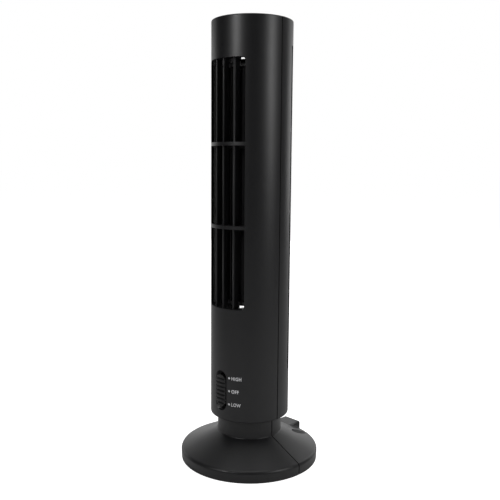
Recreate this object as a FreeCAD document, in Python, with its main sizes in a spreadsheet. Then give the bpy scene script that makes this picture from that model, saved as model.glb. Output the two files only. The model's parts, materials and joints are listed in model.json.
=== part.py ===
import FreeCAD, Part
import math
import os
import re

# Small desk tower fan. Millimetres, front = -Y, up = +Z, origin on the floor on the tower axis.

os.makedirs("parts", exist_ok=True)
doc = FreeCAD.newDocument("tower_fan")
sheet = doc.addObject("Spreadsheet::Sheet", "Sizes")

SIZES = {
    # housing
    "overall_height": 330.0,
    "tube_radius": 30.1,
    "wall": 2.0,
    "top_wall": 2.5,
    "tube_bottom": 36.2,
    "edge_round": 0.9,
    "neck_radius": 24.6,
    "neck_bottom": 21.9,
    "neck_round": 1.0,
    "rim_radius": 53.1,
    "rim_foot_radius": 52.8,
    "rim_height": 8.4,
    "rim_round": 3.0,
    "shell_bottom": 0.5,
    "seam_gap": 0.8,
    "lip_depth": 1.6,
    "lip_wall": 0.9,
    # front grille
    "grille_low": 121.2,
    "grille_high": 301.2,
    "grille_half_width": 18.1,
    "grille_corner": 3.0,
    "grille_pitch": 60.0,
    "fin_pitch": 9.1,
    "fin_thick": 1.7,
    "fin_recess": 1.6,
    "rib_thick": 2.6,
    "shelf_thick": 2.0,
    # rear grille
    "vent_low": 72.0,
    "vent_high": 312.0,
    "vent_half_width": 26.6,
    "vent_fin_turn": 10.66,
    "vent_fin_thick": 1.8,
    "vent_recess": 0.35,
    # base
    "cover_gap": 0.3,
    "cover_low": 1.2,
    "cover_thick": 2.0,
    "foot_radius": 6.0,
    "foot_circle": 42.0,
    "foot_thick": 1.7,
    "ballast_radius": 37.5,
    "ballast_thick": 4.5,
    "cover_screw_circle": 44.0,
    "post_circle": 26.0,
    # rear power inlet
    "inlet_top": 15.6,
    "inlet_half_width": 8.4,
    "inlet_face": 51.2,
    "inlet_round": 1.6,
    "inlet_wall": 1.6,
    "jack_height": 11.9,
    "jack_hole_radius": 2.0,
    "jack_bore_radius": 1.8,
    "jack_pin_radius": 0.65,
    # screws through the rear shell
    "screw_radius": 1.45,
    "screw_head_radius": 2.8,
    "boss_radius": 3.4,
    "screw_length": 14.0,
    "base_screw_side": 20.0,
    "base_screw_height": 13.6,
    "base_bore_radius": 3.7,
    "base_bore_floor": 20.0,
    "tower_screw_side": 14.0,
    "tower_screw_low": 52.0,
    "tower_screw_high": 320.6,
    "tower_bore_radius": 3.3,
    "tower_bore_floor": 18.0,
    # switch
    "switch_height": 58.6,
    "recess_floor": 27.4,
    "knob_half_width": 4.9,
    "knob_half_length": 12.2,
    "knob_side_gap": 0.85,
    "knob_end_gap": 0.2,
    "knob_front": 30.5,
    "groove_pitch": 3.1,
    "switch_travel": 3.0,
    "slider_gap": 0.3,
    "switch_screw_offset": 18.5,
    # impeller
    "impeller_low": 122.7,
    "impeller_high": 298.7,
    "impeller_radius": 20.4,
    "impeller_gap": 3.5,
    "blade_inner_radius": 15.2,
    "blade_thick": 0.9,
    "ring_thick": 1.6,
    "end_disc_thick": 2.6,
    "end_hub_radius": 11.0,
    "end_hub_rise": 3.6,
    "blade_count": 20,
    # bearings and motor
    "shaft_radius": 1.5,
    "motor_shaft_radius": 1.0,
    "bush_clearance": 0.04,
    "bush_radius": 4.0,
    "bush_low": 306.0,
    "bush_thick": 6.0,
    "motor_radius": 12.0,
    "motor_low": 80.0,
    "motor_high": 110.0,
    "motor_wall": 1.0,
    "rotor_radius": 8.0,
    "magnet_gap": 0.4,
    "bracket_thick": 2.5,
    "bracket_radius": 27.6,
}

for row, (name, value) in enumerate(SIZES.items(), 1):
    sheet.set("A%d" % row, name)
    sheet.set("B%d" % row, str(value))
    sheet.setAlias("B%d" % row, name)
doc.recompute()

# the recess leaves room round the knob for its travel
RECESS_HALF_WIDTH = "(knob_half_width + knob_side_gap)"
RECESS_HALF_LENGTH = "(knob_half_length + switch_travel + knob_end_gap)"

nodes = {}


def size(name):
    """The sheet's value of one size."""
    return float(sheet.get(name))


def formula(text):
    """Turn the size names in a text into references to the sheet."""
    def swap(found):
        word = found.group(0)
        return "Sizes." + word if word in SIZES else word
    return re.sub(r"[a-z_]+", swap, str(text))


def bind(obj, **sizes):
    for prop, text in sizes.items():
        obj.setExpression(prop, formula(text))
    return obj


def place(obj, x=0, y=0, z=0):
    for axis, text in (("x", x), ("y", y), ("z", z)):
        obj.setExpression("Placement.Base." + axis, formula(text))
    return obj


AXIS_TURN = {
    "z": FreeCAD.Rotation(),
    "x": FreeCAD.Rotation(FreeCAD.Vector(0, 1, 0), 90),
    "y": FreeCAD.Rotation(FreeCAD.Vector(1, 0, 0), -90),
}


def cylinder(radius, height, x=0, y=0, z=0, axis="z"):
    """Cylinder that starts at x, y, z and runs along the positive axis."""
    obj = doc.addObject("Part::Cylinder", "round")
    bind(obj, Radius=radius, Height=height)
    obj.Placement.Rotation = AXIS_TURN[axis]
    return place(obj, x, y, z)


def cone(low_radius, high_radius, height, z=0):
    obj = doc.addObject("Part::Cone", "cone")
    bind(obj, Radius1=low_radius, Radius2=high_radius, Height=height)
    return place(obj, 0, 0, z)


def box(x_span, y_span, z_span):
    """Box between pairs of limits."""
    obj = doc.addObject("Part::Box", "block")
    length, width, height = ["(%s) - (%s)" % (b, a) for a, b in (x_span, y_span, z_span)]
    bind(obj, Length=length, Width=width, Height=height)
    return place(obj, x_span[0], y_span[0], z_span[0])


def fuse(*objs):
    obj = doc.addObject("Part::MultiFuse", "join")
    obj.Shapes = list(objs)
    obj.Refine = True
    return obj


def common(*objs):
    obj = doc.addObject("Part::MultiCommon", "overlap")
    obj.Shapes = list(objs)
    return obj


def cut(base, *tools):
    obj = doc.addObject("Part::Cut", "trim")
    obj.Base = base
    obj.Tool = tools[0] if len(tools) == 1 else fuse(*tools)
    obj.Refine = True
    return obj


def group(*objs):
    obj = doc.addObject("Part::Compound", "group")
    obj.Links = list(objs)
    return obj


def moved(source, x=0, y=0, z=0, turn=0.0):
    """A copy of an object, turned about the tower axis and shifted."""
    obj = doc.addObject("Part::Compound", "copy")
    obj.Links = [source]
    obj.Placement.Rotation = FreeCAD.Rotation(FreeCAD.Vector(0, 0, 1), turn)
    return place(obj, x, y, z)


def node(label, obj):
    obj.Label = label
    nodes[label] = obj
    return obj


def body(label):
    return doc.addObject("PartDesign::Body", label)


def sketch(owner, role, offset="0"):
    """Sketch on one of the body's own planes: XY_Plane, XZ_Plane or YZ_Plane."""
    obj = owner.newObject("Sketcher::SketchObject", "outline")
    plane = [item for item in owner.Origin.OriginFeatures if item.Role == role][0]
    obj.AttachmentSupport = [(plane, "")]
    obj.MapMode = "FlatFace"
    obj.setExpression("AttachmentOffset.Base.z", formula(offset))
    return obj


def constrain(obj, kind, value_text, *where):
    value = doc_value(value_text)
    index = obj.addConstraint(Sketcher.Constraint(kind, *where, value))
    obj.setExpression("Constraints[%d]" % index, formula(value_text))


def doc_value(text):
    """Number that a formula gives with the sheet's present sizes."""
    bind(probe, Radius="1000 + " + str(text))
    doc.recompute([probe])
    return probe.Radius.Value - 1000.0


def outline(obj, points):
    """Closed outline through points whose coordinates are formulas."""
    values = [(doc_value(x), doc_value(y)) for x, y in points]
    count = len(points)
    for index in range(count):
        start = FreeCAD.Vector(*values[index], 0)
        end = FreeCAD.Vector(*values[(index + 1) % count], 0)
        obj.addGeometry(Part.LineSegment(start, end), False)
    for index in range(count):
        obj.addConstraint(Sketcher.Constraint("Coincident", index, 2, (index + 1) % count, 1))
    for index, (x, y) in enumerate(points):
        constrain(obj, "DistanceX", x, -1, 1, index, 1)
        constrain(obj, "DistanceY", y, -1, 1, index, 1)


def ring(obj, radius, x="0", y="0"):
    """Circle in a sketch."""
    centre = FreeCAD.Vector(doc_value(x), doc_value(y), 0)
    index = obj.addGeometry(Part.Circle(centre, FreeCAD.Vector(0, 0, 1), doc_value(radius)), False)
    constrain(obj, "Radius", radius, index)
    constrain(obj, "DistanceX", x, -1, 1, index, 3)
    constrain(obj, "DistanceY", y, -1, 1, index, 3)


import Sketcher

probe = doc.addObject("Part::Cylinder", "probe")


def revolve(owner, points):
    """Full turn about the tower axis of an outline given as radius, height."""
    face = sketch(owner, "XZ_Plane")
    outline(face, points)
    feature = owner.newObject("PartDesign::Revolution", "turned")
    feature.Profile = face
    feature.ReferenceAxis = (face, ["V_Axis"])
    feature.Angle = 360
    doc.recompute()
    return feature


def pad(owner, face, length):
    feature = owner.newObject("PartDesign::Pad", "raised")
    feature.Profile = face
    bind(feature, Length=length)
    return feature


def pocket(owner, face, length="1", through=False, reverse=False):
    feature = owner.newObject("PartDesign::Pocket", "cut")
    feature.Profile = face
    if through:
        feature.Type = "ThroughAll"
        feature.Midplane = True
    else:
        bind(feature, Length=length)
        feature.Reversed = reverse
    return feature


def round_edges(owner, radius, wanted):
    """Fillet the circular edges at the wanted (radius, height) places."""
    tip = owner.Tip
    names = []
    for index, edge in enumerate(tip.Shape.Edges, 1):
        if not isinstance(edge.Curve, Part.Circle):
            continue
        for radius_text, height_text in wanted:
            near_radius = abs(edge.Curve.Radius - doc_value(radius_text)) < 0.05
            near_height = abs(edge.Curve.Center.z - doc_value(height_text)) < 0.05
            if near_radius and near_height:
                names.append("Edge%d" % index)
    feature = owner.newObject("PartDesign::Fillet", "rounded")
    feature.Base = (tip, names)
    bind(feature, Radius=radius)
    doc.recompute()
    return feature


def stadium(half_width, half_length, y_span, z):
    """Upright slot shape, running along Y, with round ends."""
    low, high = y_span
    depth = "(%s) - (%s)" % (high, low)
    straight = "(%s) - (%s)" % (half_length, half_width)
    middle = box(("-(%s)" % half_width, half_width), y_span,
                 ("%s - (%s)" % (z, straight), "%s + (%s)" % (z, straight)))
    top = cylinder(half_width, depth, 0, low, "%s + (%s)" % (z, straight), "y")
    bottom = cylinder(half_width, depth, 0, low, "%s - (%s)" % (z, straight), "y")
    return fuse(middle, top, bottom)


def screw(x, y, z, axis, length, head_radius="screw_head_radius", sign=1):
    """Pan head screw: head seated at x, y, z, shank pointing along sign times the axis."""
    head_thick = 2.2
    if axis == "y":
        if sign < 0:
            shank = cylinder("screw_radius", length, x, "%s - (%s)" % (y, length), z, "y")
            head = cylinder(head_radius, head_thick, x, y, z, "y")
            slot = box(("%s - 2" % x, "%s + 2" % x), ("%s + 1.2" % y, "%s + 3" % y),
                       ("%s - 0.4" % z, "%s + 0.4" % z))
        else:
            shank = cylinder("screw_radius", length, x, y, z, "y")
            head = cylinder(head_radius, head_thick, x, "%s - %s" % (y, head_thick), z, "y")
            slot = box(("%s - 2" % x, "%s + 2" % x), ("%s - 3" % y, "%s - 1.2" % y),
                       ("%s - 0.4" % z, "%s + 0.4" % z))
        cross = box(("%s - 0.4" % x, "%s + 0.4" % x),
                    ("%s %s" % (y, "+ 1.2" if sign < 0 else "- 3"), "%s %s" % (y, "+ 3" if sign < 0 else "- 1.2")),
                    ("%s - 2" % z, "%s + 2" % z))
        return cut(fuse(shank, head), slot, cross)
    if sign > 0:
        shank = cylinder("screw_radius", length, x, y, z)
        head = cylinder(head_radius, head_thick, x, y, "%s - %s" % (z, head_thick))
        span = ("%s - 3" % z, "%s - 1.2" % z)
    else:
        shank = cylinder("screw_radius", length, x, y, "%s - (%s)" % (z, length))
        head = cylinder(head_radius, head_thick, x, y, z)
        span = ("%s + 1.2" % z, "%s + 3" % z)
    slot = box(("%s - 2" % x, "%s + 2" % x), ("%s - 0.4" % y, "%s + 0.4" % y), span)
    cross = box(("%s - 0.4" % x, "%s + 0.4" % x), ("%s - 2" % y, "%s + 2" % y), span)
    return cut(fuse(shank, head), slot, cross)


# ---------------------------------------------------------------- housing, both halves

CONE_RISE = "(neck_bottom - rim_height) / (rim_radius - neck_radius)"
RIM_IN = "(rim_radius - wall - 0.3)"
NECK_IN = "(neck_radius - wall)"
TUBE_IN = "(tube_radius - wall)"
CONE_WALL = "(wall * 1.1)"

outer = body("shell_outside")
revolve(outer, [
    ("0", "shell_bottom"),
    ("rim_foot_radius", "shell_bottom"),
    ("rim_radius", "rim_height"),
    ("neck_radius", "neck_bottom"),
    ("neck_radius", "tube_bottom"),
    ("tube_radius", "tube_bottom"),
    ("tube_radius", "overall_height"),
    ("0", "overall_height"),
])
round_edges(outer, "rim_round", [("rim_radius", "rim_height")])
round_edges(outer, "neck_round", [("neck_radius", "neck_bottom")])
round_edges(outer, "edge_round", [("tube_radius", "overall_height"), ("tube_radius", "tube_bottom")])

inner = body("shell_inside")
revolve(inner, [
    ("0", "shell_bottom - 1"),
    (RIM_IN, "shell_bottom - 1"),
    (RIM_IN, "rim_height - " + CONE_WALL + " + 0.3 * wall"),
    (NECK_IN, "neck_bottom - " + CONE_WALL + " + " + CONE_RISE + " * 0.3 * wall"),
    (NECK_IN, "tube_bottom + wall"),
    (TUBE_IN, "tube_bottom + wall"),
    (TUBE_IN, "overall_height - top_wall"),
    ("0", "overall_height - top_wall"),
])

# the seam lip: a thin wall inside both halves
lip_core = body("lip_inside")
LIP = "lip_wall"
revolve(lip_core, [
    ("0", "shell_bottom + 4"),
    (RIM_IN + " - " + LIP, "shell_bottom + 4"),
    (RIM_IN + " - " + LIP, "rim_height - " + CONE_WALL + " - 0.6"),
    (NECK_IN + " - " + LIP, "neck_bottom - " + CONE_WALL + " - 0.6"),
    (NECK_IN + " - " + LIP, "tube_bottom + wall + " + LIP),
    (TUBE_IN + " - " + LIP, "tube_bottom + wall + " + LIP),
    (TUBE_IN + " - " + LIP, "overall_height - top_wall - " + LIP),
    ("0", "overall_height - top_wall - " + LIP),
])
FAR = 80
TALL = "overall_height + 20"
front_side = box((-FAR, FAR), (-FAR, "-seam_gap / 2"), (-10, TALL))
rear_side = box((-FAR, FAR), ("seam_gap / 2", FAR), (-10, TALL))
lip_zone = box((-FAR, FAR), ("-lip_depth", "lip_depth"), ("shell_bottom + 4.3", TALL))
lip_free = body("lip_clearance")
FREE = "0.15"
revolve(lip_free, [
    ("0", "shell_bottom - 2"),
    (RIM_IN + " - " + FREE, "shell_bottom - 2"),
    (RIM_IN + " - " + FREE, "rim_height - " + CONE_WALL + " + 0.2 * wall"),
    (NECK_IN + " - " + FREE, "neck_bottom - " + CONE_WALL),
    (NECK_IN + " - " + FREE, "tube_bottom + wall + " + FREE),
    (TUBE_IN + " - " + FREE, "tube_bottom + wall + " + FREE),
    (TUBE_IN + " - " + FREE, "overall_height - top_wall - " + FREE),
    ("0", "overall_height - top_wall - " + FREE),
])
rear_lip = common(inner, rear_side, lip_zone)
front_lip = common(lip_free, box((-FAR, FAR), ("-lip_depth", "seam_gap"), ("shell_bottom + 4.3", TALL)))
lip = cut(fuse(rear_lip, front_lip), lip_core)

walls = cut(outer, inner)

# everything that stands inside a half ends within this, part of the way through the wall
core = body("shell_middle")
DEEP = "(wall * 0.45)"
revolve(core, [
    ("0", "shell_bottom"),
    ("rim_foot_radius - " + DEEP, "shell_bottom"),
    ("rim_radius - " + DEEP, "rim_height - rim_round"),
    ("rim_radius - rim_round", "rim_height - " + DEEP + " + 0.2 * rim_round"),
    ("neck_radius - " + DEEP, "neck_bottom - " + DEEP),
    ("neck_radius - " + DEEP, "tube_bottom + " + DEEP),
    ("tube_radius - " + DEEP, "tube_bottom + " + DEEP),
    ("tube_radius - " + DEEP, "overall_height - " + DEEP),
    ("0", "overall_height - " + DEEP),
])

# ---------------------------------------------------------------- front shell

GRILLE_IN = "(impeller_radius + impeller_gap)"


def fin_front(x, radius):
    return "-sqrt((%s) * (%s) - (%s) * (%s))" % (radius, radius, x, x)


window = box(("-grille_half_width", "grille_half_width"), (-FAR, -8),
             ("grille_low + grille_corner", "grille_high - grille_corner"))
window_tall = box(("-(grille_half_width - grille_corner)", "grille_half_width - grille_corner"),
                  (-FAR, -8), ("grille_low", "grille_high"))
corners = []
for side in ("-", ""):
    for height in ("grille_low + grille_corner", "grille_high - grille_corner"):
        x = "%s(grille_half_width - grille_corner)" % side
        corners.append(cylinder("grille_corner", FAR - 8, x, -FAR, height, "y"))
grille_window = fuse(window, window_tall, *corners)

fins = []
for index in (-1, 0, 1):
    x = "(%d * fin_pitch)" % index
    front = fin_front("%d * fin_pitch" % index, "tube_radius - fin_recess")
    nose = front + " + fin_thick / 2"
    fins.append(box((x + " - fin_thick / 2", x + " + fin_thick / 2"),
                    (nose, -12), ("grille_low - 1", "grille_high + 1")))
    fins.append(cylinder("fin_thick / 2", "grille_high - grille_low + 2", x, nose, "grille_low - 1"))

tube_band = cylinder("tube_radius", "overall_height", 0, 0, 0)
band_core = cylinder(GRILLE_IN, "overall_height", 0, 0, 0)
band = cut(tube_band, band_core)
slats = cut(fuse(*fins), band_core)
ribs = []
for index in (1, 2):
    middle = "(grille_low + %d * grille_pitch)" % index
    ribs.append(box(("-grille_half_width - 0.6", "grille_half_width + 0.6"), (-FAR, -12),
                    (middle + " - rib_thick / 2", middle + " + rib_thick / 2")))
rib_rings = common(band, fuse(*ribs))

shelf_zone = common(
    cut(cylinder("tube_radius - 0.6", "overall_height", 0, 0, 0),
        cylinder("impeller_radius + 3.4", "overall_height", 0, 0, 0)),
    fuse(box(("-grille_half_width - 1.5", "grille_half_width + 1.5"), (-FAR, -8),
             ("grille_low - shelf_thick", "grille_low")),
         box(("-grille_half_width - 1.5", "grille_half_width + 1.5"), (-FAR, -8),
             ("grille_high", "grille_high + shelf_thick"))))


def boss_front(x, z, reach):
    """Screw boss inside the front half."""
    post = cylinder("boss_radius", reach, x, "-(%s)" % reach, z, "y")
    web = box(("%s - 0.8" % x, "%s + 0.8" % x), (-FAR, -4), (z + " - 3", z + " + 1"))
    return [post, web]


front_inside = []
for side in ("-1", "1"):
    for z in ("tower_screw_low", "tower_screw_high"):
        front_inside += boss_front("(%s * tower_screw_side)" % side, z, "tube_radius")
    front_inside += boss_front("(%s * base_screw_side)" % side, "base_screw_height", "20")
COVER_SCREWS = [(math.cos(math.radians(angle)), math.sin(math.radians(angle)))
                for angle in (45, 135, 225, 315)]


def cover_spot(cosine, sine):
    return "(%.6f * cover_screw_circle)" % cosine, "(%.6f * cover_screw_circle)" % sine


for cosine, sine in COVER_SCREWS[2:]:
    x, y = cover_spot(cosine, sine)
    front_inside.append(cylinder("3", "12", x, y, "cover_low + cover_thick"))

# bearing seat and motor bracket posts: vertical posts joined to the wall
for side in ("-1", "1"):
    x = "(%s * 21.5)" % side
    front_inside.append(box((x + " - 2.6", x + " + 2.6"), (-FAR, -8), ("bush_low - 6", "bush_low")))
    front_inside.append(box((x + " - 2.6", x + " + 2.6"), (-FAR, -8), ("motor_high - 4", "motor_high + 2")))
# two pads beside the slide switch
for sign in ("-", "+"):
    z = "(switch_height %s switch_screw_offset)" % sign
    front_inside.append(cylinder("2.2", "%d - recess_floor + 3.3" % FAR, 0, -FAR, z, "y"))
trimmed = common(fuse(*front_inside), core, front_side)

front_holes = []
for side in ("-1", "1"):
    for x, z in (("(%s * tower_screw_side)" % side, "tower_screw_low"),
                 ("(%s * tower_screw_side)" % side, "tower_screw_high"),
                 ("(%s * base_screw_side)" % side, "base_screw_height")):
        front_holes.append(cylinder("screw_radius", "screw_length", x, "-screw_length", z, "y"))
    x = "(%s * 21.5)" % side
    front_holes.append(cylinder("screw_radius", "5.2", x, -12.5, "bush_low - 5.2"))
    front_holes.append(cylinder("screw_radius", "5.2", x, -12.5, "motor_high - 3.2"))
for sign in ("-", "+"):
    z = "(switch_height %s switch_screw_offset)" % sign
    front_holes.append(cylinder("0.9", "4.9", 0, "-recess_floor - 1.2", z, "y"))
for cosine, sine in COVER_SCREWS[2:]:
    x, y = cover_spot(cosine, sine)
    front_holes.append(cylinder("screw_radius", "5.6", x, y, "cover_low + cover_thick"))

switch_floor = common(
    box(("-" + RECESS_HALF_WIDTH + " - 2", RECESS_HALF_WIDTH + " + 2"), ("-tube_radius", "-recess_floor + 1.3"),
        ("switch_height - " + RECESS_HALF_LENGTH + " - 2", "switch_height + " + RECESS_HALF_LENGTH + " + 2")),
    core)
switch_recess = stadium(RECESS_HALF_WIDTH, RECESS_HALF_LENGTH, (-FAR, "-recess_floor"),
                        "switch_height")
stem_slot = box((-2.3, 2.3), (-FAR, -8),
                ("switch_height - 2.3 - switch_travel", "switch_height + 2.3 + switch_travel"))

front_wall = common(walls, front_side)
front_open = cut(fuse(front_wall, switch_floor), grille_window)
front_full = fuse(front_open, slats, rib_rings, shelf_zone, trimmed)
front_shell = cut(front_full, switch_recess, stem_slot, *front_holes)
node("front_shell", front_shell)

# ---------------------------------------------------------------- rear shell

vent_window = box(("-vent_half_width", "vent_half_width"), (4, FAR), ("vent_low", "vent_high"))
vent_slat = box(("-vent_fin_thick / 2", "vent_fin_thick / 2"), (20, FAR), ("vent_low - 1", "vent_high + 1"))
vent_fins = [moved(vent_slat, turn=index * size("vent_fin_turn")) for index in range(-5, 6)]
vent_band = cut(tube_band, inner)
vent_bars = common(vent_band, fuse(*vent_fins), rear_side)
vent_ribs = []
for index in (1, 2, 3):
    middle = "(vent_low + %d * grille_pitch)" % index
    vent_ribs.append(box((-FAR, FAR), (3, FAR),
                         (middle + " - rib_thick / 2", middle + " + rib_thick / 2")))
vent_rings = common(cut(cylinder("tube_radius - vent_recess", "overall_height"),
                        cylinder(TUBE_IN + " - 1.2", "overall_height")), fuse(*vent_ribs))


def boss_rear(x, z, radius):
    """Sleeve in the rear half that carries a screw head."""
    return cylinder(radius, FAR, x, "seam_gap / 2", z, "y")


rear_inside = []
for side in ("-1", "1"):
    for z in ("tower_screw_low", "tower_screw_high"):
        rear_inside.append(boss_rear("(%s * tower_screw_side)" % side, z, "tower_bore_radius + 1.2"))
    rear_inside.append(boss_rear("(%s * base_screw_side)" % side, "base_screw_height", "base_bore_radius + 1"))
for cosine, sine in COVER_SCREWS[:2]:
    x, y = cover_spot(cosine, sine)
    rear_inside.append(cylinder("3", "12", x, y, "cover_low + cover_thick"))
rear_trimmed = common(fuse(*rear_inside), core, rear_side)

# power inlet housing on the base
inlet = box(("-inlet_half_width", "inlet_half_width"), (28, "inlet_face"), ("rim_height - 0.4", "inlet_top"))
inlet_round = doc.addObject("Part::Fillet", "inlet_rounded")
doc.recompute()
inlet_round.Base = inlet
picked = []
for index, edge in enumerate(inlet.Shape.Edges, 1):
    middle = edge.CenterOfMass
    top_side = abs(middle.z - size("inlet_top")) < 0.01 and abs(middle.x) > size("inlet_half_width") - 0.01
    end_side = abs(middle.y - size("inlet_face")) < 0.01 and abs(middle.x) > size("inlet_half_width") - 0.01
    end_top = abs(middle.y - size("inlet_face")) < 0.01 and abs(middle.z - size("inlet_top")) < 0.01
    if top_side or end_side or end_top:
        picked.append((index, size("inlet_round"), size("inlet_round")))
inlet_round.Edges = picked
JACK_LOW = "(jack_height - 2.9)"
JACK_HIGH = "(jack_height + 2.2)"
inlet_room = box(("-5.2", "5.2"), (24, "inlet_face - inlet_wall"), ("rim_height - 4", JACK_HIGH + " + 0.1"))
inlet_hole = cylinder("jack_hole_radius", "12", 0, "inlet_face - 4", "jack_height", "y")

rear_holes = []
for side in ("-1", "1"):
    for z in ("tower_screw_low", "tower_screw_high"):
        x = "(%s * tower_screw_side)" % side
        rear_holes.append(cylinder("tower_bore_radius", FAR, x, "tower_bore_floor", z, "y"))
        rear_holes.append(cylinder("screw_radius + 0.15", FAR, x, -1, z, "y"))
    x = "(%s * base_screw_side)" % side
    rear_holes.append(cylinder("base_bore_radius", FAR, x, "base_bore_floor", "base_screw_height", "y"))
    rear_holes.append(cylinder("screw_radius + 0.15", FAR, x, -1, "base_screw_height", "y"))
for cosine, sine in COVER_SCREWS[:2]:
    x, y = cover_spot(cosine, sine)
    rear_holes.append(cylinder("screw_radius", "5.6", x, y, "cover_low + cover_thick"))

rear_wall = cut(common(walls, rear_side), vent_window)
rear_full = fuse(rear_wall, vent_bars, common(vent_rings, rear_side), rear_trimmed, inlet_round, lip)
front_boss_room = []
for side in ("-1", "1"):
    for z in ("tower_screw_low", "tower_screw_high"):
        front_boss_room.append(cylinder("boss_radius + 0.5", 6, "(%s * tower_screw_side)" % side, -6, z, "y"))
under_floor = box((-FAR, FAR), (-FAR, FAR), (-5, "shell_bottom"))
rear_shell = cut(rear_full, inlet_room, inlet_hole, under_floor, *rear_holes)
node("rear_shell", rear_shell)

# ---------------------------------------------------------------- base

POST_ANGLES = (90, 210, 330)
COVER_TOP = "(cover_low + cover_thick)"
cover = body("bottom_cover")
face = sketch(cover, "XY_Plane", "cover_low")
ring(face, RIM_IN + " - cover_gap")
pad(cover, face, "cover_thick")
face = sketch(cover, "XY_Plane", COVER_TOP)
for angle in POST_ANGLES:
    x = "(%.6f * post_circle)" % math.cos(math.radians(angle))
    y = "(%.6f * post_circle)" % math.sin(math.radians(angle))
    ring(face, "3", x, y)
doc.recompute()
pad(cover, face, "ballast_thick")
face = sketch(cover, "XY_Plane", "cover_low")
for angle in (0, 90, 180, 270):
    x = "(%.6f * foot_circle)" % math.cos(math.radians(angle))
    y = "(%.6f * foot_circle)" % math.sin(math.radians(angle))
    ring(face, "foot_radius + 0.2", x, y)
doc.recompute()
pocket(cover, face, "0.5", reverse=True)
face = sketch(cover, "XY_Plane", "cover_low")
for cosine, sine in COVER_SCREWS:
    ring(face, "screw_radius + 0.15", *cover_spot(cosine, sine))
doc.recompute()
pocket(cover, face, "cover_thick + 1", reverse=True)
face = sketch(cover, "XY_Plane", COVER_TOP + " + ballast_thick")
for angle in POST_ANGLES:
    x = "(%.6f * post_circle)" % math.cos(math.radians(angle))
    y = "(%.6f * post_circle)" % math.sin(math.radians(angle))
    ring(face, "screw_radius", x, y)
doc.recompute()
pocket(cover, face, "ballast_thick")
node("bottom_cover", cover)

foot = body("foot")
face = sketch(foot, "XY_Plane")
ring(face, "foot_radius", "foot_circle", "0")
pad(foot, face, "foot_thick")
doc.recompute()
round_edges(foot, "0.4", [("foot_radius", "0")])
node("rubber_feet", group(*[moved(foot, turn=angle) for angle in (0, 90, 180, 270)]))

ballast = body("ballast_plate")
face = sketch(ballast, "XY_Plane", COVER_TOP)
ring(face, "ballast_radius")
pad(ballast, face, "ballast_thick")
doc.recompute()
face = sketch(ballast, "XY_Plane", COVER_TOP)
for angle in POST_ANGLES:
    x = "(%.6f * post_circle)" % math.cos(math.radians(angle))
    y = "(%.6f * post_circle)" % math.sin(math.radians(angle))
    ring(face, "3.3", x, y)
doc.recompute()
pocket(ballast, face, "ballast_thick + 1", reverse=True)
node("ballast_plate", ballast)

post_screws = []
for angle in POST_ANGLES:
    x = "(%.6f * post_circle)" % math.cos(math.radians(angle))
    y = "(%.6f * post_circle)" % math.sin(math.radians(angle))
    post_screws.append(screw(x, y, COVER_TOP + " + ballast_thick", "z", "ballast_thick - 0.8", "4.6", -1))
node("ballast_screws", group(*post_screws))

cover_screws = []
for cosine, sine in COVER_SCREWS:
    x, y = cover_spot(cosine, sine)
    shank = cylinder("screw_radius", "7", x, y, "cover_low")
    head_cap = cylinder("2.6", "0.9", x, y, "cover_low - 0.9")
    slot = box((x + " - 1.8", x + " + 1.8"), (y + " - 0.35", y + " + 0.35"), ("cover_low - 1", "cover_low - 0.4"))
    cross = box((x + " - 0.35", x + " + 0.35"), (y + " - 1.8", y + " + 1.8"), ("cover_low - 1", "cover_low - 0.4"))
    cover_screws.append(cut(fuse(shank, head_cap), slot, cross))
node("cover_screws", group(*cover_screws))

base_screws = []
tower_screws = []
for side in ("-1", "1"):
    x = "(%s * base_screw_side)" % side
    base_screws.append(screw(x, "base_bore_floor", "base_screw_height", "y",
                             "base_bore_floor + screw_length - 2", sign=-1))
    for z in ("tower_screw_low", "tower_screw_high"):
        x = "(%s * tower_screw_side)" % side
        tower_screws.append(screw(x, "tower_bore_floor", z, "y",
                                  "tower_bore_floor + screw_length - 2", sign=-1))
node("base_screws", group(*base_screws))
node("tower_screws", group(*tower_screws))

# ---------------------------------------------------------------- power inlet

JACK_BACK = "(inlet_face - inlet_wall - 11.5)"
JACK_FACE = "(inlet_face - inlet_wall - 0.2)"
jack_block = box(("-4.5", "4.5"), (JACK_BACK, JACK_FACE), (JACK_LOW, JACK_HIGH))
jack_bore = cylinder("jack_bore_radius", "8.5", 0, JACK_FACE + " - 8.5", "jack_height", "y")
jack_slot = box(("-1.6", "1.6"), (JACK_BACK + " + 3", JACK_FACE + " - 3.4"), (JACK_LOW + " - 1", "jack_height - 1.95"))
pin_rod = cylinder("jack_pin_radius", "8.2", 0, JACK_BACK + " + 2.6", "jack_height", "y")
pin_tab = box(("-1.2", "1.2"), (JACK_BACK + " - 3.4", JACK_BACK), ("jack_height - 0.3", "jack_height + 0.3"))
pin_stem = box(("-0.5", "0.5"), (JACK_BACK + " - 0.2", JACK_BACK + " + 3"), ("jack_height - 0.3", "jack_height + 0.3"))
node("power_jack", cut(jack_block, jack_bore, jack_slot, pin_rod, pin_stem))
node("jack_pin", fuse(pin_rod, pin_tab, pin_stem))
node("jack_spring", box(("-1.4", "1.4"), (JACK_BACK + " + 3.2", JACK_FACE + " - 3.6"),
                        ("jack_height - 2.5", "jack_height - 2")))

# ---------------------------------------------------------------- slide switch

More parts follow.
